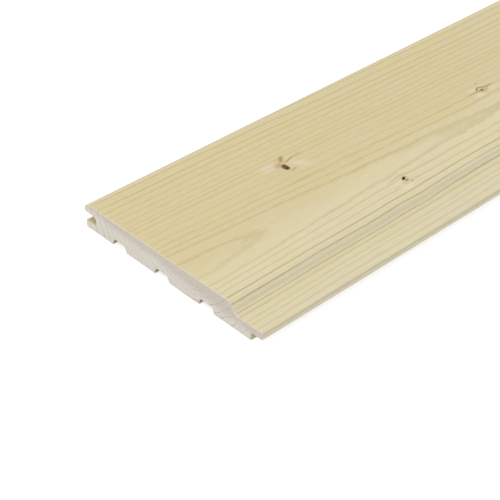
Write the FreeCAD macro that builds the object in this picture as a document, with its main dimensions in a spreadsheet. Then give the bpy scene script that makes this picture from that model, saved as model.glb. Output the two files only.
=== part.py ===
"""A softwood soffit board: a planed tongue-and-groove board for the underside of a roof overhang.

The board lies face up. +X runs along its length, +Y points from the tongue to the groove, and +Z is
square to the face. The origin is at the middle of the underside. All sizes are in millimetres.
The section is cut from a plain blank in the order of the moulder's knives: groove, tongue, shoulder,
relief channels.
"""

import FreeCAD
import Part
import Sketcher
import os

NODE = "soffit_board"
CUTTER_OVERRUN = 5.0  # how far each cut's outline reaches past the blank
ON_EDGE = 1e-4  # how close a point lies to an edge that counts as passing through it

# Widths are measured across the board and heights from its underside.
SIZES = {
    "board_length": 2000.0,
    "board_width": 146.0,  # from the nose over the groove to the tongue's tip
    "board_thickness": 16.0,
    "back_lip_height": 4.8,  # the lip under the groove
    "back_lip_setback": 0.8,  # how far that lip stops short of the nose
    "groove_height": 5.4,
    "groove_depth": 10.0,  # from the front of the nose
    "groove_corner_radius": 2.8,
    "nose_round_radius": 4.0,  # between the nose and the face
    "nose_under_radius": 1.6,  # between the nose and the groove
    "tongue_play_below": 0.4,  # play of a tongue in the next board's groove
    "tongue_play_above": 0.6,
    "tongue_play_tip": 0.6,
    "tongue_tip_lean": 0.5,  # how far the tip's upper edge stands back from its lower one
    "tongue_arris_radius": 0.5,
    "strip_width": 20.9,  # lowered strip of the face, from the tongue's tip to the shoulder's foot
    "shoulder_run": 3.9,  # how far the shoulder's slope reaches across the board
    "shoulder_round_radius": 4.0,
    "shoulder_cove_radius": 2.5,
    "channel_count": 3,  # relief channels along the underside
    "channel_mouth_width": 12.0,
    "channel_floor_width": 9.4,
    "channel_depth": 4.2,
    "channel_corner_radius": 1.2,
    "channel_pitch": 36.2,
    "first_channel_offset": 30.6,  # from the front of the nose to the first channel's middle
}

# Places that several cuts share, as expressions of the sheet's cells.
NOSE_Y = "Sizes.board_width / 2"
TIP_Y = "-Sizes.board_width / 2"
FACE_Z = "Sizes.board_thickness"
GROOVE_WALL_Y = f"{NOSE_Y} - Sizes.groove_depth"
BACK_LIP_Y = f"{NOSE_Y} - Sizes.back_lip_setback"
GROOVE_LOW_Z = "Sizes.back_lip_height"
GROOVE_TOP_Z = f"{GROOVE_LOW_Z} + Sizes.groove_height"
TONGUE_LOW_Z = f"{GROOVE_LOW_Z} + Sizes.tongue_play_below"
TONGUE_TOP_Z = f"{GROOVE_TOP_Z} - Sizes.tongue_play_above"
TONGUE_ROOT_Y = f"{TIP_Y} + Sizes.groove_depth - Sizes.back_lip_setback - Sizes.tongue_play_tip"
TONGUE_UPPER_TIP_Y = f"{TIP_Y} + Sizes.tongue_tip_lean"
SHOULDER_FOOT_Y = f"{TIP_Y} + Sizes.strip_width"
SHOULDER_HEAD_Y = f"{SHOULDER_FOOT_Y} + Sizes.shoulder_run"
CHANNEL_MIDDLE_Y = f"{NOSE_Y} - Sizes.first_channel_offset"
BEYOND_NOSE_Y = f"{NOSE_Y} + {CUTTER_OVERRUN}"
BEYOND_TIP_Y = f"{TIP_Y} - {CUTTER_OVERRUN}"
ABOVE_FACE_Z = f"{FACE_Z} + {CUTTER_OVERRUN}"
BELOW_BACK_Z = f"-{CUTTER_OVERRUN}"


def make_sheet(doc):
    """The spreadsheet that holds each driving size under its own alias."""
    sheet = doc.addObject("Spreadsheet::Sheet", "Sizes")
    for row, (alias, value) in enumerate(SIZES.items(), start=1):
        sheet.set(f"A{row}", alias)
        sheet.set(f"B{row}", str(value))
        sheet.setAlias(f"B{row}", alias)
    doc.recompute()
    return sheet


def outline(body, sheet, name, corners):
    """A closed outline in the plane square to the length, its corners given as (across, up)."""
    sketch = body.newObject("Sketcher::SketchObject", name)
    plane = next(feature for feature in body.Origin.OriginFeatures if feature.Role == "YZ_Plane")
    sketch.AttachmentSupport = (plane, [""])
    sketch.MapMode = "FlatFace"
    places = [tuple(sheet.evalExpression(text) for text in corner) for corner in corners]
    points = [FreeCAD.Vector(across, up, 0) for across, up in places]
    for start, end in zip(points, points[1:] + points[:1]):
        sketch.addGeometry(Part.LineSegment(start, end))
    for line in range(len(corners)):
        following = (line + 1) % len(corners)
        sketch.addConstraint(Sketcher.Constraint("Coincident", line, 2, following, 1))
    for line, (place, corner) in enumerate(zip(places, corners)):
        for direction, value, text in zip(("DistanceX", "DistanceY"), place, corner):
            constraint = Sketcher.Constraint(direction, -1, 1, line, 1, value)
            index = sketch.addConstraint(constraint)
            sketch.setExpression(f"Constraints[{index}]", text)
    return sketch


def make_blank(body, sheet):
    """The plain sawn blank that the section is cut from."""
    corners = [(TIP_Y, "0"), (NOSE_Y, "0"), (NOSE_Y, FACE_Z), (TIP_Y, FACE_Z)]
    blank = body.newObject("PartDesign::Pad", "Blank")
    blank.Profile = outline(body, sheet, "BlankOutline", corners)
    blank.SideType = "Symmetric"
    blank.setExpression("Length", "Sizes.board_length")
    return blank


def cut_along(body, sheet, name, corners):
    """A cut of one outline along the whole board, which must take some wood away."""
    body.Document.recompute()
    volume_before = body.Tip.Shape.Volume
    cut = body.newObject("PartDesign::Pocket", name)
    cut.Profile = outline(body, sheet, f"{name}Outline", corners)
    cut.Type = "ThroughAll"
    cut.SideType = "Symmetric"
    body.Document.recompute()
    if cut.Shape.Volume >= volume_before:
        raise RuntimeError(f"{name} cuts nothing")
    return cut


def round_along(body, sheet, name, radius, corners):
    """One radius on the edges that run along the board through the given corners."""
    body.Document.recompute()
    base = body.Tip
    edges = []
    for across, up in corners:
        corner = FreeCAD.Vector(0, sheet.evalExpression(across), sheet.evalExpression(up))
        point = Part.Vertex(corner)
        edges += [
            f"Edge{number}"
            for number, edge in enumerate(base.Shape.Edges, start=1)
            if edge.distToShape(point)[0] < ON_EDGE
        ]
    if len(edges) != len(corners):
        raise RuntimeError(f"{name} found {len(edges)} edges for {len(corners)} corners")
    fillet = body.newObject("PartDesign::Fillet", name)
    fillet.Base = (base, edges)
    fillet.setExpression("Radius", radius)
    return fillet


def cut_groove(body, sheet):
    """The groove, with the lip under it set back so that the nose closes the joint's face first."""
    corners = [
        (GROOVE_WALL_Y, GROOVE_LOW_Z),
        (GROOVE_WALL_Y, GROOVE_TOP_Z),
        (BEYOND_NOSE_Y, GROOVE_TOP_Z),
        (BEYOND_NOSE_Y, BELOW_BACK_Z),
        (BACK_LIP_Y, BELOW_BACK_Z),
        (BACK_LIP_Y, GROOVE_LOW_Z),
    ]
    cut_along(body, sheet, "Groove", corners)
    nose_height = f"({FACE_Z} - ({GROOVE_TOP_Z}))"
    nose_round = f"min(Sizes.nose_round_radius; 0.7 * {nose_height})"
    nose_under = f"min(Sizes.nose_under_radius; 0.28 * {nose_height})"
    groove_corner = "min(Sizes.groove_corner_radius; 0.9 * Sizes.groove_height)"
    round_along(body, sheet, "GrooveCorner", groove_corner, [(GROOVE_WALL_Y, GROOVE_TOP_Z)])
    round_along(body, sheet, "NoseRound", nose_round, [(NOSE_Y, FACE_Z)])
    round_along(body, sheet, "NoseUnder", nose_under, [(NOSE_Y, GROOVE_TOP_Z)])


def cut_tongue(body, sheet):
    """The rebate under the tongue. Its root meets the next board's back lip."""
    corners = [
        (TONGUE_ROOT_Y, BELOW_BACK_Z),
        (TONGUE_ROOT_Y, TONGUE_LOW_Z),
        (BEYOND_TIP_Y, TONGUE_LOW_Z),
        (BEYOND_TIP_Y, BELOW_BACK_Z),
    ]
    cut_along(body, sheet, "TongueRebate", corners)


def cut_shoulder(body, sheet):
    """The sloping shoulder and the lowered strip, which runs out over the tongue."""
    corners = [
        (SHOULDER_FOOT_Y, TONGUE_TOP_Z),
        (SHOULDER_HEAD_Y, FACE_Z),
        (SHOULDER_HEAD_Y, ABOVE_FACE_Z),
        (BEYOND_TIP_Y, ABOVE_FACE_Z),
        (BEYOND_TIP_Y, TONGUE_LOW_Z),
        (TIP_Y, TONGUE_LOW_Z),
        (TONGUE_UPPER_TIP_Y, TONGUE_TOP_Z),
    ]
    cut_along(body, sheet, "Shoulder", corners)
    tongue_height = f"({TONGUE_TOP_Z} - ({TONGUE_LOW_Z}))"
    arris = f"min(Sizes.tongue_arris_radius; 0.4 * {tongue_height})"
    slope_length = f"sqrt(Sizes.shoulder_run ^ 2 + ({FACE_Z} - ({TONGUE_TOP_Z})) ^ 2)"
    head_round = f"min(Sizes.shoulder_round_radius; 0.8 * {slope_length})"
    foot_cove = f"min(Sizes.shoulder_cove_radius; 0.5 * {slope_length})"
    tip_corners = [(TIP_Y, TONGUE_LOW_Z), (TONGUE_UPPER_TIP_Y, TONGUE_TOP_Z)]
    round_along(body, sheet, "TongueArrises", arris, tip_corners)
    round_along(body, sheet, "ShoulderRound", head_round, [(SHOULDER_HEAD_Y, FACE_Z)])
    round_along(body, sheet, "ShoulderCove", foot_cove, [(SHOULDER_FOOT_Y, TONGUE_TOP_Z)])


def cut_channels(body, sheet):
    """The relief channels along the underside, which let the wide board lie flat on its battens."""
    half_mouth = "Sizes.channel_mouth_width / 2"
    half_floor = "Sizes.channel_floor_width / 2"
    flare = f"({half_mouth} - {half_floor}) / Sizes.channel_depth * {CUTTER_OVERRUN}"
    corners = [
        (f"{CHANNEL_MIDDLE_Y} - {half_mouth} - {flare}", BELOW_BACK_Z),
        (f"{CHANNEL_MIDDLE_Y} + {half_mouth} + {flare}", BELOW_BACK_Z),
        (f"{CHANNEL_MIDDLE_Y} + {half_floor}", "Sizes.channel_depth"),
        (f"{CHANNEL_MIDDLE_Y} - {half_floor}", "Sizes.channel_depth"),
    ]
    channel = cut_along(body, sheet, "Channel", corners)
    channels = body.newObject("PartDesign::LinearPattern", "Channels")
    channels.Originals = [channel]
    channels.Direction = (channel.Profile[0], ["H_Axis"])
    channels.Reversed = True
    channels.Mode = "Spacing"
    channels.setExpression("Offset", "Sizes.channel_pitch")
    channels.setExpression("Occurrences", "Sizes.channel_count")
    body.Tip = channels
    floor_corners = [
        (f"{CHANNEL_MIDDLE_Y} - {number} * Sizes.channel_pitch {side} {half_floor}", "Sizes.channel_depth")
        for number in range(SIZES["channel_count"])
        for side in ("-", "+")
    ]
    corner_radius = "min(Sizes.channel_corner_radius; 0.9 * Sizes.channel_depth)"
    round_along(body, sheet, "ChannelCorners", corner_radius, floor_corners)


def check_document(doc, body):
    """Stops at a failed feature, or at a board that isn't one sound piece."""
    failed = [item.Name for item in doc.Objects if {"Invalid", "Error"} & set(item.State)]
    if failed:
        raise RuntimeError(f"failed features: {failed}")
    if body.Shape.isNull() or not body.Shape.isValid() or len(body.Shape.Solids) != 1:
        raise RuntimeError(f"{body.Label} is not one valid solid")


def main():
    doc = FreeCAD.newDocument("SoffitBoard")
    sheet = make_sheet(doc)
    body = doc.addObject("PartDesign::Body", "Board")
    body.Label = NODE
    make_blank(body, sheet)
    cut_groove(body, sheet)
    cut_tongue(body, sheet)
    cut_shoulder(body, sheet)
    cut_channels(body, sheet)
    doc.recompute()
    check_document(doc, body)
    os.makedirs("parts", exist_ok=True)
    body.Shape.exportStep(f"parts/{NODE}.step")
    box = body.Shape.BoundBox
    print(f"{NODE}: {box.XLength:.2f} x {box.YLength:.2f} x {box.ZLength:.2f} mm")
    print(f"volume {body.Shape.Volume / 1000:.1f} cm3, {len(body.Shape.Faces)} faces")


main()
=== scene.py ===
"""A softwood soffit board, lying face up on a white studio floor.

The board's own frame: +X along its length, +Y from the tongue to the groove, +Z out of the face.
Sizes are written in millimetres and turned to metres where Blender takes them. The sawn end that
the photograph shows is the one at -X. Places on the wood are given as a carpenter would measure
them: along from that sawn end, across from the nose at the groove, and up from the underside.
"""

from math import pi, radians, sin, tan

import bmesh
import bpy
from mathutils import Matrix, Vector


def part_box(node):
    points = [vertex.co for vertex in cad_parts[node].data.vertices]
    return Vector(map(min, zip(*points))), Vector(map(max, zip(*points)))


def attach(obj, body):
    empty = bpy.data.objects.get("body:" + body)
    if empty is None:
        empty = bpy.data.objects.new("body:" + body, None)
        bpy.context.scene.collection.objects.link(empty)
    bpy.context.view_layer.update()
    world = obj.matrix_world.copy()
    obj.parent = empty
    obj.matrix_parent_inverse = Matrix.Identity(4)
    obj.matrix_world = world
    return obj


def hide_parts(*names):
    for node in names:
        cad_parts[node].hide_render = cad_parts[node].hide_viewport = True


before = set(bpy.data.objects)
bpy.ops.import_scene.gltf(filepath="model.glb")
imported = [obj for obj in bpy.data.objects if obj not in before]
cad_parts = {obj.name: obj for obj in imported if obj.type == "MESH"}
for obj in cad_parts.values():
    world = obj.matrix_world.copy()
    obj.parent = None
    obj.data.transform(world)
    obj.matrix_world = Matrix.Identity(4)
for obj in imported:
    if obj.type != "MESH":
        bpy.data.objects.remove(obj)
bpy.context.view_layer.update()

MM = 0.001
NODE = "soffit_board"

# Section of the board
low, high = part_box(NODE)
NEAR_END_X = low.x / MM
FAR_END_X = high.x / MM
HALF_LENGTH = (FAR_END_X - NEAR_END_X) / 2
NOSE_Y = high.y / MM
TIP_Y = -NOSE_Y
FACE_Z = high.z / MM
BACK_LIP_HEIGHT = 4.8
BACK_LIP_SETBACK = 0.8
GROOVE_HEIGHT = 5.4
GROOVE_DEPTH = 10.0
GROOVE_CORNER_RADIUS = 2.8
NOSE_ROUND_RADIUS = 4.0
NOSE_UNDER_RADIUS = 1.6
TONGUE_PLAY_BELOW = 0.4
TONGUE_PLAY_ABOVE = 0.6
TONGUE_PLAY_TIP = 0.6
TONGUE_TIP_LEAN = 0.5
TONGUE_ARRIS_RADIUS = 0.5
STRIP_WIDTH = 20.9
SHOULDER_RUN = 3.9
SHOULDER_ROUND_RADIUS = 4.0
SHOULDER_COVE_RADIUS = 2.5
CHANNEL_COUNT = 3
CHANNEL_MOUTH_WIDTH = 12.0
CHANNEL_FLOOR_WIDTH = 9.4
CHANNEL_DEPTH = 4.2
CHANNEL_CORNER_RADIUS = 1.2
CHANNEL_PITCH = 36.2
FIRST_CHANNEL_OFFSET = 30.6
ARRIS = 0.3  # the least rounding that handling leaves on any planed edge
SAWN_ARRIS = 0.25  # the worn edge round the sawn ends
SHARP_ANGLE = 35.0  # degrees

# The flat picture of the wood, in shares of its width and height: the planed sides lie one above
# the next, with the two sawn ends above them
SHEET_MARGIN = 0.01
SIDES_SHARE = 0.79
END_LEFT = 0.02
END_PITCH = 0.5
END_WIDTH = 0.46
END_BOTTOM = SIDES_SHARE + 0.04
END_HEIGHT = 0.14

GROOVE_TOP_Z = BACK_LIP_HEIGHT + GROOVE_HEIGHT
TONGUE_LOW_Z = BACK_LIP_HEIGHT + TONGUE_PLAY_BELOW
TONGUE_TOP_Z = GROOVE_TOP_Z - TONGUE_PLAY_ABOVE
TONGUE_ROOT_Y = TIP_Y + GROOVE_DEPTH - BACK_LIP_SETBACK - TONGUE_PLAY_TIP
# Places across, from the nose
SHOULDER_FOOT = NOSE_Y - TIP_Y - STRIP_WIDTH
SHOULDER_HEAD = SHOULDER_FOOT - SHOULDER_RUN
TONGUE_TIP = NOSE_Y - TIP_Y - TONGUE_TIP_LEAN

# The camera that the photograph was taken with, found from its vanishing points
CAMERA_PLACE = (-1372.0, -461.6, 467.6)
CAMERA_TURN = -43.075  # degrees about +Z from looking along +Y
CAMERA_TILT = 36.967  # degrees down
CAMERA_LENS = 100.67  # on the usual 36 mm wide sensor

# The trunk that the board was sawn from. Its pith wanders above the face: each line is how fast
# it turns along the trunk (radians a millimetre), where that wave starts, its reach and its middle
PITH_ACROSS = (0.00311, -0.854, 6.1, 91.4)
PITH_UP = (0.00578, 0.133, 4.9, 38.5)
SWELL = (0.01024, 4.683, 0.67)
LEAN = -1.13  # growth that is slower on the groove side
SAPWOOD_EDGE = (0.0045, -0.9, 8.0, -2.0)
PALE_STRETCH = (0.0075, -2.2, 0.55)  # where the groove side is paler too
# Each year's boundary: its distance from the pith, how dark its latewood is on the groove side
# and on the tongue side, and the latewood's share of the year
YEARS = (
    (20.2, 0.5, 0.5, 0.2), (24.2, 0.42, 0.28, 0.14), (28.4, 0.5, 0.45, 0.24),
    (31.0, 0.5, 0.5, 0.3), (34.5, 0.45, 0.4, 0.26), (38.3, 0.3, 1.1, 0.24),
    (42.85, 0.5, 1.17, 0.11), (44.5, 0.05, 0.25, 0.3), (46.2, 0.4, 1.1, 0.4), (50.5, 0.5, 0.5, 0.22),
    (54.2, 0.5, 0.4, 0.26), (56.95, 0.5, 0.5, 0.24), (61.2, 0.4, 0.4, 0.26),
    (65.5, 0.4, 0.5, 0.22), (70.0, 0.6, 0.5, 0.2), (74.9, 0.65, 0.5, 0.2),
    (79.4, 0.8, 0.5, 0.22), (85.5, 0.6, 0.5, 0.18), (91.3, 0.6, 0.5, 0.18),
    (96.4, 0.6, 0.5, 0.2), (101.8, 0.6, 0.5, 0.2),
)
FIRST_RADIUS = 15.0
LAST_RADIUS = 120.0
YEAR_COUNT = 26.0

# Branches that the board was cut through: along, across on the face, radius, how dark the heart
# has grown, and how dark the bark left round it is. The first three show in the photograph
KNOTS = (
    (107.7, 51.9, 1.8, 0.3, 0.0), (148.0, 107.6, 3.8, 0.0, 0.0), (260.4, 73.0, 2.0, 0.0, 0.0),
    (523.0, 34.0, 3.0, 0.6, 0.9), (668.0, 118.0, 2.0, 0.5, 0.6), (741.0, 66.0, 1.6, 0.9, 0.0),
    (1012.0, 101.0, 3.4, 0.5, 0.9), (1190.0, 27.0, 2.2, 0.7, 0.5), (1204.0, 88.0, 1.5, 0.9, 0.0),
    (1466.0, 57.0, 3.1, 0.5, 0.8), (1683.0, 112.0, 2.4, 0.8, 0.4), (1702.0, 42.0, 1.8, 0.7, 0.7),
    (1871.0, 75.0, 2.7, 0.4, 0.8),
)
# Marks on the face by those three knots: along, across, half length, half width, turn in degrees,
# colour, strength, and how soft the edge is
MARKS = (
    # the oval knot: torn, pale grain on both sides, a stain that leans away, a dark heart
    (99.3, 46.0, 5.5, 2.8, -5.0, "E6DCC4", 0.42, 0.7),
    (117.0, 54.0, 5.6, 2.4, 50.0, "E8E0CE", 0.42, 0.8),
    (106.0, 62.0, 12.0, 4.0, 0.0, "D2C68E", 0.35, 0.8),
    (105.7, 67.0, 12.0, 1.1, 0.0, "C2B375", 0.45, 0.7),
    (108.7, 46.6, 4.6, 2.5, -51.0, "CCB07C", 0.5, 0.8),
    (105.6, 48.2, 2.6, 2.0, 0.0, "B29D76", 0.6, 0.8),
    (111.6, 43.7, 2.7, 1.25, -42.0, "AC9048", 0.9, 0.8),
    (114.8, 47.3, 4.4, 0.6, -15.0, "AD9E58", 0.85, 0.5),
    (122.3, 46.2, 4.2, 0.5, 0.0, "B3A566", 0.6, 0.6),
    (110.1, 56.5, 2.2, 1.0, -10.0, "BCA76A", 0.65, 0.6),
    (107.7, 51.8, 1.95, 3.1, 0.0, "6A5A3F", 0.95, 0.25),
    (107.9, 53.2, 1.0, 1.1, 0.0, "33290C", 0.75, 0.5),
    (108.5, 50.1, 0.8, 1.0, 0.0, "40341F", 0.65, 0.5),
    # the small knot with a gap along its upper edge
    (142.8, 109.0, 4.6, 2.8, 0.0, "EADBC2", 0.42, 0.7),
    (145.5, 113.4, 5.0, 2.2, 0.0, "E8E2CC", 0.42, 0.7),
    (144.8, 103.5, 5.0, 0.6, -4.0, "C3B47C", 0.6, 0.7),
    (151.5, 103.2, 3.6, 0.7, 6.0, "C3B578", 0.7, 0.7),
    (157.5, 104.2, 3.5, 0.6, 10.0, "CCC08C", 0.4, 0.7),
    (156.8, 110.5, 3.2, 0.7, 8.0, "CBBE84", 0.5, 0.7),
    (149.6, 108.3, 3.6, 2.6, -30.0, "C9B68A", 0.45, 0.6),
    (146.0, 110.4, 1.7, 0.7, 45.0, "B9AA92", 0.5, 0.6),
    (149.4, 106.6, 1.8, 0.95, -30.0, "352A06", 1.0, 0.4),
    (151.4, 106.2, 1.0, 0.35, 30.0, "9A8A5A", 0.6, 0.5),
    (149.5, 109.0, 1.3, 0.8, 0.0, "85744A", 0.85, 0.5),
    (151.6, 111.5, 1.2, 0.45, -32.0, "A8995C", 0.7, 0.5),
    (140.5, 110.5, 3.2, 0.5, -2.0, "BFAE88", 0.5, 0.7),
    # the pin knot under a roof of bent fibres
    (254.0, 69.8, 3.2, 1.2, 0.0, "E8DDC8", 0.45, 0.6),
    (254.8, 76.6, 4.6, 1.7, 0.0, "E6DFC8", 0.5, 0.6),
    (267.4, 75.8, 5.4, 2.0, 0.0, "E6DBC6", 0.45, 0.7),
    (261.4, 74.0, 3.4, 2.4, 0.0, "B5A278", 0.6, 0.7),
    (257.7, 71.3, 1.5, 0.55, -60.0, "8A7B50", 0.85, 0.55),
    (259.4, 70.2, 1.7, 0.5, -18.0, "83744A", 0.85, 0.55),
    (262.0, 70.7, 2.0, 0.55, 22.0, "83744A", 0.85, 0.55),
    (264.4, 71.9, 1.8, 0.55, 24.0, "8F8048", 0.8, 0.6),
    (268.0, 72.2, 3.2, 0.65, 0.0, "9E8F48", 0.75, 0.6),
    (255.8, 73.2, 2.0, 0.5, 15.0, "9A8A60", 0.7, 0.5),
    (251.6, 72.7, 3.0, 0.5, 0.0, "AB9B60", 0.6, 0.6),
    (260.2, 73.5, 1.3, 1.05, 0.0, "7E6B3E", 0.9, 0.6),
    (263.6, 65.5, 1.8, 0.45, -10.0, "AC9C62", 0.6, 0.5),
)

# How far the grain strays, in mm either way of a noise's middle, doubled
WANDER_REACH = 2.0
SHIVER_REACH = 0.8
JAG_REACH = 0.7
BY_SHOULDER_SWERVE = 0.3  # of its usual swerve, by the shoulder
RING_SHIFT = (-1.6, 1.3)  # of the rings under the shoulder, from its foot to the face

# Noise drawn out along the trunk: how long and wide its patches are, in mm, and its detail
WANDER = (90.0, 25.0, 1.0)
SHIVER = (20.0, 5.0, 1.0)
JAG = (5.0, 1.4, 1.0)
STREAKS = (40.0, 1.8, 2.0)
FIBRES = (7.0, 0.5, 2.0)
CLOUDS = (110.0, 30.0, 2.0)
TINTS = (60.0, 6.0, 3.0)
# Noise that is alike all ways: patches in a mm, and its detail
BARK_GRAIN = (0.7, 2.0)
MARK_GRAIN = (0.9, 3.0)
SAWN_GRAIN = (0.9, 4.0)
ARRIS_GRAIN = (0.45, 3.0)
NOISE_LOW = 0.3  # nearly all of a noise's values lie from here
NOISE_HIGH = 0.7  # to here

# A year, as shares of it: its dark line has gone by the first, and starts to fade at the second
WINTER = (0.12, 0.05)
YEAR_SHIFT = 0.1  # puts the boundary where the line has nearly faded
SIDE_BLUR = 8.0  # half the width over which the two sides' darkness change places
SAPWOOD_BLUR = (78.0, 108.0)  # across, where the sapwood begins and where it is whole
SAPWOOD_CLOUD = 14.0  # how far that edge wanders
# A branch, in its radii: where its heart begins and is whole, and its bark either side of its edge
HEART_EDGE = (1.3, 0.7)
BARK_EDGE = (0.3, 0.05)
BARK_RAGGEDNESS = 0.7
BRANCH_LEAN = 6.0  # mm along the trunk, from the pith to the face
PARTING_SHAPE = (0.7, 1.0, 1.0)  # the grain parts further off along the trunk
PARTING_SHARE = (0.0, 0.65, 0.65)
PARTING_FADE = -0.32
MARK_RAGGEDNESS = 0.6
MARK_EDGE = 1.3  # a mark's outline, with half its raggedness
MARK_DEPTH = 1.5

# Where each part of the section with its own tone or painted light lies, as places or as distances from
# an edge
NOSE_HIGHLIGHT_SPAN = (8.0, 4.5)  # across, where it begins and where it is whole
SLOPE_LIGHT_TOP = (0.4, 1.1)  # below the face
SLOPE_LIGHT_FOOT = (0.05, 0.4)  # above the strip
SLOPE_LEAST_ACROSS = SHOULDER_HEAD - 2.0
STRIP_BLEND = 1.0
TIP_LIGHT_SPAN = 0.4
BACK_MARGIN = 0.3
# What each part does to the face's red, green and blue: a painted highlight on the nose and painted
# light on the slope and the tongue's tip, all paler and bluer; a plain change of tone on the strip and
# low on the underside
NOSE_PAINTED_HIGHLIGHT = (1.003, 1.04, 1.19)
SLOPE_PAINTED_LIGHT = (1.05, 1.067, 1.135)
STRIP_TONE = (0.99, 0.997, 1.025)
TIP_PAINTED_LIGHT = (1.08, 1.085, 1.17)
BACK_TONE = (0.99, 1.0, 1.12)
YELLOWER = (0.997, 1.006, 0.965)
ROSIER = (1.006, 0.994, 1.035)

# Colours of the wood, the older wood's first
EARLYWOOD = ("D9CCA0", "DED5B1")
LATEWOOD = ("BFB177", "C1B27C")
KNOT_HEART = "6A5535"
KNOT_BARK = "8A754B"
LIFTED_FIBRE = "E6DCCC"
SAWN_CUT = ("EAE5D9", "DBD2C5")  # paler and greener low down as painted floor bounce light, and darker and rosier towards the top
SAWN_RING = "D0C4B8"
CRUSHED_FIBRE = ("D9CEBE", "EAE1D2")
WOOD_IOR = 1.45

# The studio
FLOOR_COLOUR = "E7E7E7"
FLOOR_GLOW = 0.65  # added only where the camera sees the floor, so that it looks white
FLOOR_HALF_WIDTH = 12000.0
FLOOR_GAP = 0.2  # under the board, so that their faces don't share a plane
ROOM_COLOUR = "F6F9FF"
ROOM_STRENGTH = 0.83
SOFT_BOX_COLOUR = "FFEBCF"
SOFT_BOX_SIZE = (2600.0, 1800.0)
SOFT_BOX_PLACE = (-1550.0, 350.0, 2200.0)
SOFT_BOX_AIM = (-850.0, 0.0, 0.0)
SOFT_BOX_POWER = 17.5  # watts

VECTOR_MATH = "ShaderNodeVectorMath"
# The mix node's two inputs for each kind of value
MIX_INPUTS = {"FLOAT": (2, 3), "VECTOR": (4, 5), "RGBA": (6, 7)}


def in_metres(place):
    """A place or size in millimetres, as Blender takes it."""
    return [value * MM for value in place]


def colour(hex_code):
    """Linear RGBA of an sRGB hex colour."""
    channels = [int(hex_code[i : i + 2], 16) / 255 for i in (0, 2, 4)]
    return [c / 12.92 if c <= 0.04045 else ((c + 0.055) / 1.055) ** 2.4 for c in channels] + [1.0]


def output_of(source):
    """The socket that a link leaves from: the source itself, or its first output in use."""
    if isinstance(source, bpy.types.Node):
        return next(socket for socket in source.outputs if socket.enabled)
    return source


def add_node(tree, kind, *inputs, **settings):
    """A node with its settings, and its inputs in order or by name: values, nodes or sockets."""
    node = tree.nodes.new(kind)
    for name, value in settings.items():
        setattr(node, name, value)
    named = inputs[0].items() if inputs and isinstance(inputs[0], dict) else enumerate(inputs)
    for name, value in named:
        if isinstance(value, (bpy.types.Node, bpy.types.NodeSocket)):
            tree.links.new(output_of(value), node.inputs[name])
        else:
            node.inputs[name].default_value = value
    return node


def calc(tree, operation, *values):
    """One sum on numbers."""
    return add_node(tree, "ShaderNodeMath", *values, operation=operation)


def vector_calc(tree, operation, *values):
    """One sum on places, directions or colours."""
    return add_node(tree, VECTOR_MATH, *values, operation=operation)


def length_of(tree, vector):
    """How long a vector is."""
    return vector_calc(tree, "LENGTH", vector).outputs["Value"]


def rise(tree, value, start, end, low=0.0, high=1.0):
    """Goes evenly from low at the start to high at the end, whichever place is the larger."""
    return add_node(
        tree, "ShaderNodeMapRange",
        {"Value": value, "From Min": start, "From Max": end, "To Min": low, "To Max": high},
    )


def smooth_rise(tree, value, start, end, high=1.0):
    """Goes smoothly from 0 at the start to high at the end, whichever place is the larger."""
    return add_node(
        tree, "ShaderNodeMapRange",
        {"Value": value, "From Min": start, "From Max": end, "To Max": high},
        interpolation_type="SMOOTHSTEP",
    )


def within(tree, value, opens, full, fades, gone):
    """1 between full and fades, and down smoothly to 0 at opens and at gone."""
    begins = smooth_rise(tree, value, opens, full)
    ends = smooth_rise(tree, value, gone, fades)
    return calc(tree, "MULTIPLY", begins, ends)


def mixed(tree, share, first, second, kind="RGBA"):
    """The first value where the share is 0, and the second where it is 1."""
    one, two = MIX_INPUTS[kind]
    return add_node(tree, "ShaderNodeMix", {0: share, one: first, two: second}, data_type=kind)


def noise(tree, place, scale, detail):
    """Noise that is alike all ways."""
    return add_node(tree, "ShaderNodeTexNoise", {"Vector": place, "Scale": scale, "Detail": detail})


def grain_noise(tree, place, length, width, detail):
    """Noise whose patches are drawn out along the trunk."""
    patches = vector_calc(tree, "MULTIPLY", place, (1 / length, 1 / width, 1 / width))
    return noise(tree, patches, 1.0, detail)


def spread(tree, value, low, high):
    """Turns a noise's usual range into another."""
    return rise(tree, value, NOISE_LOW, NOISE_HIGH, low, high)


def new_group(name, inputs, outputs):
    """An empty node group with its sockets, given as a name and a kind: Float, Vector or Color."""
    group = bpy.data.node_groups.new(name, "ShaderNodeTree")
    for title, kind in inputs:
        group.interface.new_socket(title, in_out="INPUT", socket_type=f"NodeSocket{kind}")
    for title, kind in outputs:
        group.interface.new_socket(title, in_out="OUTPUT", socket_type=f"NodeSocket{kind}")
    return group


def hand_out(group, results):
    """Links a group's results to its outputs."""
    end = group.nodes.new("NodeGroupOutput")
    for name, value in results.items():
        group.links.new(output_of(value), end.inputs[name])


def wave(tree, along, pace, start, reach, middle=0.0):
    """A slow sine along the trunk."""
    phase = calc(tree, "MULTIPLY_ADD", along, pace, start)
    swing = calc(tree, "SINE", phase)
    return calc(tree, "MULTIPLY_ADD", swing, reach, middle)


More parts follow.
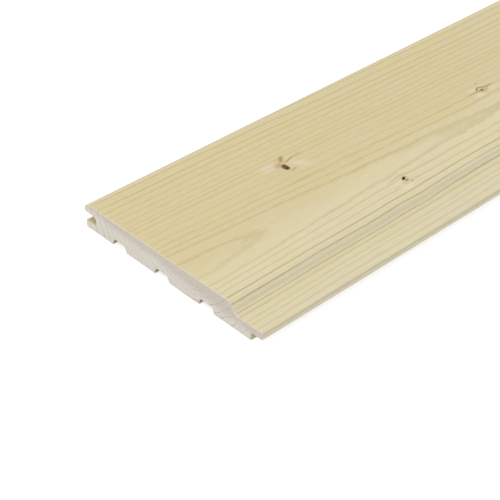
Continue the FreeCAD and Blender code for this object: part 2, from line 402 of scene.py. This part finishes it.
def branch_group():
    """One branch through the board: how far a point is from its middle line, and how far the grain
    there was pushed aside as it grew round it."""
    group = new_group(
        "branch",
        (("Place", "Vector"), ("Middle", "Vector"), ("Run", "Vector"), ("Radius", "Float")),
        (("Distance", "Float"), ("Push", "Vector")),
    )
    given = group.nodes.new("NodeGroupInput").outputs
    away = vector_calc(group, "SUBTRACT", given["Place"], given["Middle"])
    reach = vector_calc(group, "DOT_PRODUCT", away, given["Run"]).outputs["Value"]
    onward = add_node(group, VECTOR_MATH, {"Vector": given["Run"], "Scale": reach}, operation="SCALE")
    aside = vector_calc(group, "SUBTRACT", away, onward)
    radii = calc(group, "DIVIDE", length_of(group, aside), given["Radius"])
    # bark edges are ragged at about a millimetre
    ragged = noise(group, given["Place"], *BARK_GRAIN)
    distance = calc(group, "MULTIPLY_ADD", ragged, BARK_RAGGEDNESS, radii)
    even = calc(group, "ADD", distance, -BARK_RAGGEDNESS / 2)
    # the grain parts well before the branch and closes well behind it
    drawn_in = vector_calc(group, "MULTIPLY", aside, PARTING_SHAPE)
    share = calc(group, "DIVIDE", length_of(group, drawn_in), given["Radius"])
    square = calc(group, "MULTIPLY", share, share)
    fading = calc(group, "MULTIPLY", square, PARTING_FADE)
    bell = calc(group, "EXPONENT", fading)
    parted = vector_calc(group, "MULTIPLY", aside, PARTING_SHARE)
    push = vector_calc(group, "MULTIPLY", parted, bell)
    hand_out(group, {"Distance": even, "Push": push})
    return group


def pith_at(along):
    """Where the pith lies across and up, at a place along the trunk."""
    return [reach * sin(pace * along + start) + middle
            for pace, start, reach, middle in (PITH_ACROSS, PITH_UP)]


def branches(tree, place):
    """Every branch, and where the grain would lie without their push."""
    group = branch_group()
    found = []
    straight = place
    for along, across, radius, heart, rind in KNOTS:
        pith_across, pith_up = pith_at(along)
        run = Vector((BRANCH_LEAN, across - pith_across, FACE_Z - pith_up)).normalized()
        branch = add_node(
            tree, "ShaderNodeGroup",
            {"Place": place, "Middle": (along, across, FACE_Z), "Run": run, "Radius": radius},
            node_tree=group,
        )
        straight = vector_calc(tree, "SUBTRACT", straight, branch.outputs["Push"])
        found.append((branch.outputs["Distance"], heart, rind))
    return found, straight


def board_place(tree):
    """A point's place on the board: along, across and up, in millimetres."""
    metres = add_node(tree, "ShaderNodeTexCoord").outputs["Object"]
    scaled = vector_calc(tree, "MULTIPLY", metres, (1 / MM, -1 / MM, 1 / MM))
    return vector_calc(tree, "ADD", scaled, (-NEAR_END_X, NOSE_Y, 0.0))


def pith_distance(tree, along, across, up):
    """How far sideways a point is from the wandering pith, and how far out the tree's own slower
    and faster growth makes it."""
    sideways = calc(tree, "SUBTRACT", across, wave(tree, along, *PITH_ACROSS))
    upwards = calc(tree, "SUBTRACT", up, wave(tree, along, *PITH_UP))
    outwards = add_node(tree, "ShaderNodeCombineXYZ", 0.0, sideways, upwards)
    radius = length_of(tree, outwards)
    swelled = calc(tree, "ADD", radius, wave(tree, along, *SWELL))
    lean = calc(tree, "DIVIDE", sideways, radius)
    return sideways, calc(tree, "MULTIPLY_ADD", lean, LEAN, swelled)


def under_shoulder(tree, across, up, radius):
    """The rings run a little flatter than round under the shoulder, so two of them edge it."""
    shift = rise(tree, up, TONGUE_TOP_Z, FACE_Z, *RING_SHIFT)
    by_shoulder = within(
        tree, across, SHOULDER_HEAD - 1.6, SHOULDER_HEAD + 0.2, SHOULDER_FOOT + 0.5, SHOULDER_FOOT + 2.1
    )
    return calc(tree, "MULTIPLY_ADD", shift, by_shoulder, radius)


def swerve_share(tree, across):
    """How much of its usual swerve the grain has: all of it, but little by the shoulder."""
    by_shoulder = within(
        tree, across, SHOULDER_HEAD - 9.0, SHOULDER_HEAD - 5.0, SHOULDER_FOOT + 2.0, SHOULDER_FOOT + 5.0
    )
    return calc(tree, "MULTIPLY_ADD", by_shoulder, BY_SHOULDER_SWERVE - 1.0, 1.0)


def strayed(tree, place, across, radius):
    """The grain wanders by about half a millimetre over 90 mm, and a little again over 20 mm and
    over 5 mm."""
    wandered = calc(tree, "MULTIPLY_ADD", grain_noise(tree, place, *WANDER), WANDER_REACH, radius)
    shiver = grain_noise(tree, place, *SHIVER)
    swerve = calc(tree, "MULTIPLY_ADD", shiver, SHIVER_REACH, -SHIVER_REACH / 2)
    jagged = calc(tree, "MULTIPLY_ADD", grain_noise(tree, place, *JAG), JAG_REACH, swerve)
    jitter = calc(tree, "ADD", jagged, -JAG_REACH / 2)
    shivered = calc(tree, "MULTIPLY_ADD", jitter, swerve_share(tree, across), wandered)
    return calc(tree, "ADD", shivered, -WANDER_REACH / 2)


def year_scale(tree, radius):
    """Turns a distance from the pith into years, and gives each year's darkness on both sides."""
    span = LAST_RADIUS - FIRST_RADIUS
    share = rise(tree, radius, FIRST_RADIUS, LAST_RADIUS)
    ramp = add_node(tree, "ShaderNodeValToRGB", share)
    stops = ramp.color_ramp.elements
    stops[0].color = (0.0, 0.25, 0.25, 0.2)
    stops[1].color = (1.0, 0.25, 0.25, 0.2)
    for number, (boundary, groove_side, tongue_side, late_share) in enumerate(YEARS):
        stop = stops.new((boundary - FIRST_RADIUS) / span)
        stop.color = ((number + 1.0) / YEAR_COUNT, groove_side / 2, tongue_side / 2, late_share)
    values = add_node(tree, "ShaderNodeSeparateColor", ramp)
    return [*values.outputs, ramp.outputs["Alpha"]]


def year_lines(tree, radius, sideways):
    """Each year starts pale and ends in a dark line that stops short in winter."""
    share, groove_side, tongue_side, late_share = year_scale(tree, radius)
    years = calc(tree, "MULTIPLY_ADD", share, YEAR_COUNT, YEAR_SHIFT)
    through = calc(tree, "FRACT", years)
    onset = calc(tree, "MULTIPLY_ADD", late_share, -1.4, 1.1)
    autumn = smooth_rise(tree, through, onset, 1.0)
    winter = smooth_rise(tree, through, *WINTER)
    line = calc(tree, "MAXIMUM", autumn, winter)
    side = smooth_rise(tree, sideways, -SIDE_BLUR, SIDE_BLUR)
    darkness = mixed(tree, side, groove_side, tongue_side, "FLOAT")
    return calc(tree, "MULTIPLY", line, darkness)


def sapwood_share(tree, along, across, cloud):
    """The yellower, older wood lies on the groove side, with a blurred edge that wanders."""
    drift = calc(tree, "ADD", across, wave(tree, along, *SAPWOOD_EDGE))
    edge = calc(tree, "MULTIPLY_ADD", cloud, SAPWOOD_CLOUD, drift)
    tongue_side_pale = smooth_rise(tree, edge, *SAPWOOD_BLUR)
    return calc(tree, "MAXIMUM", tongue_side_pale, wave(tree, along, *PALE_STRETCH))


def knot_cover(tree, found):
    """How much of a branch's dark heart, and of the bark round it, a point shows."""
    branch = bark = 0.0
    for distance, heart, rind in found:
        inside = smooth_rise(tree, distance, *HEART_EDGE, heart)
        branch = calc(tree, "MAXIMUM", branch, inside)
        off_edge = calc(tree, "ADD", distance, -1.0)
        beyond = calc(tree, "ABSOLUTE", off_edge)
        rim = smooth_rise(tree, beyond, *BARK_EDGE, rind)
        bark = calc(tree, "MAXIMUM", bark, rim)
    return branch, bark


def trunk_group():
    """The wood as it grew, a solid pattern, so that the face, the slopes and the sawn end agree."""
    tree = new_group(
        "wood of the trunk", (),
        (("Latewood", "Float"), ("Streak", "Float"), ("Fibre", "Float"), ("Cloud", "Float"),
         ("Tint", "Float"), ("Sapwood", "Float"), ("Branch", "Float"), ("Bark", "Float"),
         ("Place", "Vector")),
    )
    place = board_place(tree)
    found, straight = branches(tree, place)
    along, across, up = add_node(tree, "ShaderNodeSeparateXYZ", straight).outputs
    sideways, grown = pith_distance(tree, along, across, up)
    radius = strayed(tree, place, across, under_shoulder(tree, across, up, grown))
    even_latewood = year_lines(tree, radius, sideways)
    # fibre bundles: streaks 1.8 mm wide, then finer ones drawn at 0.5 mm, because the real fibres
    # of 0.03 mm are too fine to show
    streak = grain_noise(tree, place, *STREAKS)
    fibre = grain_noise(tree, place, *FIBRES)
    latewood = calc(tree, "MULTIPLY", even_latewood, spread(tree, streak, 1.3, 2.5))
    cloud = grain_noise(tree, place, *CLOUDS)
    tint = grain_noise(tree, straight, *TINTS)
    sapwood = sapwood_share(tree, along, across, cloud)
    branch, bark = knot_cover(tree, found)
    hand_out(tree, {
        "Latewood": latewood, "Streak": streak, "Fibre": fibre, "Cloud": cloud, "Tint": tint,
        "Sapwood": sapwood, "Branch": branch, "Bark": bark, "Place": place,
    })
    return tree


def new_material(name, trunk):
    """An empty material that already holds the trunk's wood."""
    material = bpy.data.materials.new(name)
    material.use_nodes = True
    tree = material.node_tree
    tree.nodes.clear()
    wood = tree.nodes.new("ShaderNodeGroup")
    wood.node_tree = trunk
    return material, tree, wood.outputs


def end_in_shader(tree, look):
    """Ends a wood material in one shader with the given look."""
    shader = add_node(tree, "ShaderNodeBsdfPrincipled", {"IOR": WOOD_IOR, **look})
    add_node(tree, "ShaderNodeOutputMaterial", shader)


def marked(tree, place, shade):
    """Adds the small stains and torn, pale patches by the knots on the face."""
    ragged = noise(tree, place, *MARK_GRAIN)
    for along, across, half_length, half_width, turn, tint, strength, softness in MARKS:
        spot = add_node(
            tree, "ShaderNodeMapping",
            {"Vector": place, "Location": (along, across, FACE_Z),
             "Rotation": (0.0, 0.0, radians(turn)), "Scale": (half_length, half_width, MARK_DEPTH)},
            vector_type="TEXTURE",
        )
        edge = calc(tree, "MULTIPLY_ADD", ragged, MARK_RAGGEDNESS, length_of(tree, spot))
        cover = smooth_rise(tree, edge, MARK_EDGE + softness, MARK_EDGE - softness, strength)
        shade = mixed(tree, cover, shade, colour(tint))
    return shade


def tones_and_painted_light(tree, place):
    """Tones each part of the section against the face: a painted highlight on the nose and painted
    light on the slope and the tongue's tip, paler and bluer, and a plain change of tone on the strip
    and low on the underside.
    """
    across, up = add_node(tree, "ShaderNodeSeparateXYZ", place).outputs[1:]
    nose = rise(tree, across, *NOSE_HIGHLIGHT_SPAN)
    below_face = rise(tree, up, *(FACE_Z - depth for depth in SLOPE_LIGHT_TOP))
    above_strip = rise(tree, up, *(TONGUE_TOP_Z + height for height in SLOPE_LIGHT_FOOT))
    on_slope = calc(tree, "MINIMUM", below_face, above_strip)
    past_face = calc(tree, "GREATER_THAN", across, SLOPE_LEAST_ACROSS)
    slope = calc(tree, "MULTIPLY", on_slope, past_face)
    strip = rise(tree, across, SHOULDER_FOOT, SHOULDER_FOOT + STRIP_BLEND)
    tip = rise(tree, across, TONGUE_TIP - TIP_LIGHT_SPAN, TONGUE_TIP)
    back = calc(tree, "LESS_THAN", up, BACK_LIP_HEIGHT - BACK_MARGIN)
    tone = (1.0, 1.0, 1.0)
    for share, change in (
        (nose, NOSE_PAINTED_HIGHLIGHT), (slope, SLOPE_PAINTED_LIGHT), (strip, STRIP_TONE), (tip, TIP_PAINTED_LIGHT),
        (back, BACK_TONE),
    ):
        tone = mixed(tree, share, tone, change, "VECTOR")
    return tone


def planed_colour(tree, wood):
    """Pale earlywood and honey-coloured latewood, with the fibres' own small differences."""
    early = mixed(tree, wood["Sapwood"], *(colour(code) for code in EARLYWOOD))
    late = mixed(tree, wood["Sapwood"], *(colour(code) for code in LATEWOOD))
    plain = mixed(tree, wood["Latewood"], early, late)
    # bands where the wood is a little yellower, and bands where it is a little rosier
    tint = mixed(tree, rise(tree, wood["Tint"], 0.35, 0.65), YELLOWER, ROSIER, "VECTOR")
    grain = vector_calc(tree, "MULTIPLY", plain, tint)
    streaky = spread(tree, wood["Streak"], 0.975, 1.02)
    fibrous = spread(tree, wood["Fibre"], 0.96, 1.035)
    fibred = vector_calc(tree, "MULTIPLY", grain, calc(tree, "MULTIPLY", streaky, fibrous))
    # each part of the section toned, with painted light on the nose, the slope and the tongue's tip
    return vector_calc(tree, "MULTIPLY", fibred, tones_and_painted_light(tree, wood["Place"]))


def paled_by_saw(tree, wood, shade):
    """The saw lifts and crushes the last millimetre by both ends, which turns it pale."""
    along = add_node(tree, "ShaderNodeSeparateXYZ", wood["Place"]).outputs["X"]
    from_middle = calc(tree, "ADD", along, -HALF_LENGTH)
    to_end = calc(tree, "ABSOLUTE", from_middle)
    ragged = calc(tree, "MULTIPLY_ADD", wood["Streak"], 1.2, to_end)
    lifted = rise(tree, ragged, HALF_LENGTH - 0.3, HALF_LENGTH + 0.3, high=0.5)
    return mixed(tree, lifted, shade, colour(LIFTED_FIBRE))


def planed_spruce(trunk):
    """Planed spruce, untreated: pale and satiny, with fine honey-coloured latewood lines that
    stand a little proud of the softer wood between them."""
    material, tree, wood = new_material("spruce, planed", trunk)
    knotted = mixed(tree, wood["Branch"], planed_colour(tree, wood), colour(KNOT_HEART))
    barked = mixed(tree, wood["Bark"], knotted, colour(KNOT_BARK))
    stained = marked(tree, wood["Place"], barked)
    shade = paled_by_saw(tree, wood, stained)
    sheen = rise(tree, wood["Latewood"], 0.0, 0.6, low=0.62, high=0.5)
    raised = calc(tree, "MULTIPLY_ADD", wood["Fibre"], 0.5, wood["Latewood"])
    relief = add_node(
        tree, "ShaderNodeBump", {"Strength": 0.25, "Distance": 0.03 * MM, "Height": raised}
    )
    # the dark, open knot hearts don't shine
    gloss = rise(tree, shade, 0.05, 0.3, high=0.2)
    end_in_shader(tree, {
        "Base Color": shade, "Roughness": sheen, "Normal": relief, "Specular IOR Level": gloss,
    })
    return material


def sawn_spruce(trunk):
    """Cross-cut spruce: torn fibre ends, greyer than the face, matt, mottled, and faintly ringed."""
    material, tree, wood = new_material("spruce, sawn end grain", trunk)
    # painted light: the lower side of the cut paler and greener, as the floor's bounce light makes it,
    # and the upper side a little darker and rosier
    across, up = add_node(tree, "ShaderNodeSeparateXYZ", wood["Place"]).outputs[1:]
    leaning = calc(tree, "MULTIPLY_ADD", across, 0.07, up)
    uneven = calc(tree, "MULTIPLY_ADD", wood["Cloud"], 6.0, leaning)
    painted_bounce_fade = smooth_rise(tree, uneven, 14.5, 20.5)
    cut = mixed(tree, painted_bounce_fade, *(colour(code) for code in SAWN_CUT))
    faint = calc(tree, "MULTIPLY", wood["Latewood"], 0.85)
    rings = mixed(tree, faint, cut, colour(SAWN_RING))
    fluff = noise(tree, wood["Place"], *SAWN_GRAIN)
    shade = vector_calc(tree, "MULTIPLY", rings, spread(tree, fluff, 0.89, 1.08))
    relief = add_node(
        tree, "ShaderNodeBump", {"Strength": 0.6, "Distance": 0.1 * MM, "Height": fluff}
    )
    end_in_shader(tree, {"Base Color": shade, "Roughness": 0.85, "Normal": relief})
    return material


def broken_arris(trunk):
    """The worn edge between a planed and a sawn side: crushed fibre, in places paler than both."""
    material, tree, wood = new_material("spruce, broken arris", trunk)
    crushed = rise(tree, noise(tree, wood["Place"], *ARRIS_GRAIN), 0.4, 0.6)
    pale = mixed(tree, crushed, *(colour(code) for code in CRUSHED_FIBRE))
    end_in_shader(tree, {"Base Color": pale, "Roughness": 0.8})
    return material


def section_corners():
    """The section's corners in order round it: place across, place up, and rounding."""
    shoulder_foot_y = TIP_Y + STRIP_WIDTH
    corners = [
        (NOSE_Y, FACE_Z, NOSE_ROUND_RADIUS),
        (shoulder_foot_y + SHOULDER_RUN, FACE_Z, SHOULDER_ROUND_RADIUS),
        (shoulder_foot_y, TONGUE_TOP_Z, SHOULDER_COVE_RADIUS),
        (TIP_Y + TONGUE_TIP_LEAN, TONGUE_TOP_Z, TONGUE_ARRIS_RADIUS),
        (TIP_Y, TONGUE_LOW_Z, TONGUE_ARRIS_RADIUS),
        (TONGUE_ROOT_Y, TONGUE_LOW_Z, ARRIS),
        (TONGUE_ROOT_Y, 0.0, ARRIS),
    ]
    for number in reversed(range(CHANNEL_COUNT)):
        middle = NOSE_Y - FIRST_CHANNEL_OFFSET - number * CHANNEL_PITCH
        corners += [
            (middle - CHANNEL_MOUTH_WIDTH / 2, 0.0, ARRIS),
            (middle - CHANNEL_FLOOR_WIDTH / 2, CHANNEL_DEPTH, CHANNEL_CORNER_RADIUS),
            (middle + CHANNEL_FLOOR_WIDTH / 2, CHANNEL_DEPTH, CHANNEL_CORNER_RADIUS),
            (middle + CHANNEL_MOUTH_WIDTH / 2, 0.0, ARRIS),
        ]
    corners += [
        (NOSE_Y - BACK_LIP_SETBACK, 0.0, ARRIS),
        (NOSE_Y - BACK_LIP_SETBACK, BACK_LIP_HEIGHT, ARRIS),
        (NOSE_Y - GROOVE_DEPTH, BACK_LIP_HEIGHT, ARRIS),
        (NOSE_Y - GROOVE_DEPTH, GROOVE_TOP_Z, GROOVE_CORNER_RADIUS),
        (NOSE_Y, GROOVE_TOP_Z, NOSE_UNDER_RADIUS),
    ]
    return corners


def arc_steps(rounding):
    """How many flats stand for a rounded corner."""
    if rounding > 2.0:
        return 10
    return 5 if rounding > 0.4 else 2


def draw_section(mesh):
    """The section at the near end, with each corner rounded."""
    corners = section_corners()
    points = [mesh.verts.new((NEAR_END_X * MM, y * MM, z * MM)) for y, z, _ in corners]
    mesh.faces.new(points)
    for point, (_, _, rounding) in zip(points, corners):
        before, after = [edge.other_vert(point).co - point.co for edge in point.link_edges]
        turn = pi - before.angle(after)
        bmesh.ops.bevel(
            mesh, geom=[point], offset=rounding * tan(turn / 2) * MM, offset_type="OFFSET",
            segments=arc_steps(rounding), profile=0.5, affect="VERTICES", material=-1,
        )


def draw_out(mesh):
    """Draws the section out to the board's length and closes its far end."""
    sweep = bmesh.ops.extrude_edge_only(mesh, edges=list(mesh.edges))["geom"]
    far_points = {item for item in sweep if isinstance(item, bmesh.types.BMVert)}
    length = (FAR_END_X - NEAR_END_X) * MM
    bmesh.ops.translate(mesh, verts=list(far_points), vec=(length, 0, 0))
    rim = [
        item for item in sweep
        if isinstance(item, bmesh.types.BMEdge) and set(item.verts) <= far_points
    ]
    bmesh.ops.contextual_create(mesh, geom=rim)
    bmesh.ops.recalc_face_normals(mesh, faces=mesh.faces)


def sawn_ends(mesh):
    """The two end faces, the near one first."""
    ends = [face for face in mesh.faces if abs(face.normal.x) > 0.9]
    return sorted(ends, key=lambda face: face.normal.x)


def unroll(mesh):
    """Lays the planed sides out flat, one strip beside the next, with both sawn ends above them."""
    flat = mesh.loops.layers.uv.new("OFBake")
    ends = sawn_ends(mesh)
    around = sum(edge.calc_length() for edge in ends[0].edges)
    height = SIDES_SHARE / around
    gone = 0.0
    for corner in ends[0].loops:
        start = corner.vert.co
        side = next(face for face in corner.edge.link_faces if face is not ends[0])
        length = corner.edge.calc_length()
        for loop in side.loops:
            place = loop.vert.co
            at_start = (place.yz - start.yz).length < 0.1 * length
            reached = gone if at_start else gone + length
            share = (place.x / MM - NEAR_END_X) / (2 * HALF_LENGTH)
            loop[flat].uv = (
                SHEET_MARGIN + (1 - 2 * SHEET_MARGIN) * share, SHEET_MARGIN + reached * height
            )
        gone += length
    for number, face in enumerate(ends):
        for loop in face.loops:
            y, z = loop.vert.co.y / MM, loop.vert.co.z / MM
            across = (NOSE_Y - y) / (NOSE_Y - TIP_Y)
            loop[flat].uv = (
                END_LEFT + END_PITCH * number + END_WIDTH * across, END_BOTTOM + END_HEIGHT * z / FACE_Z
            )


def wear_ends(mesh):
    """Gives the sawn ends their own material and a small worn edge."""
    ends = sawn_ends(mesh)
    for face in ends:
        face.material_index = 1
    rims = [edge for face in ends for edge in face.edges]
    bmesh.ops.bevel(
        mesh, geom=rims, offset=SAWN_ARRIS * MM, offset_type="OFFSET", segments=2,
        profile=0.5, affect="EDGES", material=2, clamp_overlap=True,
    )


def make_board(materials):
    """The board in one piece, which stands for the node of the frame."""
    mesh = bmesh.new()
    draw_section(mesh)
    draw_out(mesh)
    unroll(mesh)
    wear_ends(mesh)
    for face in mesh.faces:
        face.smooth = abs(face.normal.x) < 0.99
    data = bpy.data.meshes.new("soffit board")
    mesh.to_mesh(data)
    mesh.free()
    for material in materials:
        data.materials.append(material)
    data.set_sharp_from_angle(angle=radians(SHARP_ANGLE))
    board = bpy.data.objects.new("soffit_board_wood", data)
    bpy.context.scene.collection.objects.link(board)
    even = board.modifiers.new("flat sides stay flat", "WEIGHTED_NORMAL")
    even.keep_sharp = True
    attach(board, "root")
    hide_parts(NODE)


def make_floor():
    """A white studio floor that still takes the board's soft shadow."""
    mesh = bmesh.new()
    bmesh.ops.create_grid(mesh, x_segments=1, y_segments=1, size=FLOOR_HALF_WIDTH * MM)
    data = bpy.data.meshes.new("floor")
    mesh.to_mesh(data)
    mesh.free()
    material = bpy.data.materials.new("floor, white paper")
    material.use_nodes = True
    tree = material.node_tree
    tree.nodes.clear()
    paper = add_node(tree, "ShaderNodeBsdfDiffuse", {"Color": colour(FLOOR_COLOUR)})
    glow = add_node(tree, "ShaderNodeEmission", {"Strength": FLOOR_GLOW})
    seen = add_node(tree, "ShaderNodeAddShader", paper, glow)
    rays = add_node(tree, "ShaderNodeLightPath")
    shown = add_node(tree, "ShaderNodeMixShader", rays.outputs["Is Camera Ray"], paper, seen)
    add_node(tree, "ShaderNodeOutputMaterial", shown)
    data.materials.append(material)
    floor = bpy.data.objects.new("floor", data)
    floor.location.z = -FLOOR_GAP * MM
    bpy.context.scene.collection.objects.link(floor)


def make_lights():
    """Even light from a white surround, and a broad soft box above the far side."""
    world = bpy.data.worlds.new("white surround")
    bpy.context.scene.world = world
    world.use_nodes = True
    tree = world.node_tree
    tree.nodes.clear()
    room = add_node(tree, "ShaderNodeBackground", colour(ROOM_COLOUR), ROOM_STRENGTH)
    backdrop = add_node(tree, "ShaderNodeBackground", colour("FFFFFF"), 1.0)
    rays = add_node(tree, "ShaderNodeLightPath")
    shown = add_node(tree, "ShaderNodeMixShader", rays.outputs["Is Camera Ray"], room, backdrop)
    add_node(tree, "ShaderNodeOutputWorld", shown)
    lamp = bpy.data.lights.new("soft box", "AREA")
    lamp.color = colour(SOFT_BOX_COLOUR)[:3]
    lamp.shape = "RECTANGLE"
    lamp.size, lamp.size_y = in_metres(SOFT_BOX_SIZE)
    lamp.energy = SOFT_BOX_POWER
    box = bpy.data.objects.new("soft box", lamp)
    box.location = in_metres(SOFT_BOX_PLACE)
    aim = Vector(in_metres(SOFT_BOX_AIM)) - box.location
    box.rotation_euler = aim.to_track_quat("-Z", "Y").to_euler()
    bpy.context.scene.collection.objects.link(box)


def make_camera():
    """The photograph's own view."""
    data = bpy.data.cameras.new("camera")
    data.lens = CAMERA_LENS
    data.clip_end = 50.0
    camera = bpy.data.objects.new("camera", data)
    camera.location = in_metres(CAMERA_PLACE)
    camera.rotation_euler = (radians(90 - CAMERA_TILT), 0.0, radians(CAMERA_TURN))
    bpy.context.scene.collection.objects.link(camera)
    bpy.context.scene.camera = camera


bpy.context.scene.view_settings.view_transform = "Standard"
trunk = trunk_group()
make_board([planed_spruce(trunk), sawn_spruce(trunk), broken_arris(trunk)])
make_floor()
make_lights()
make_camera()
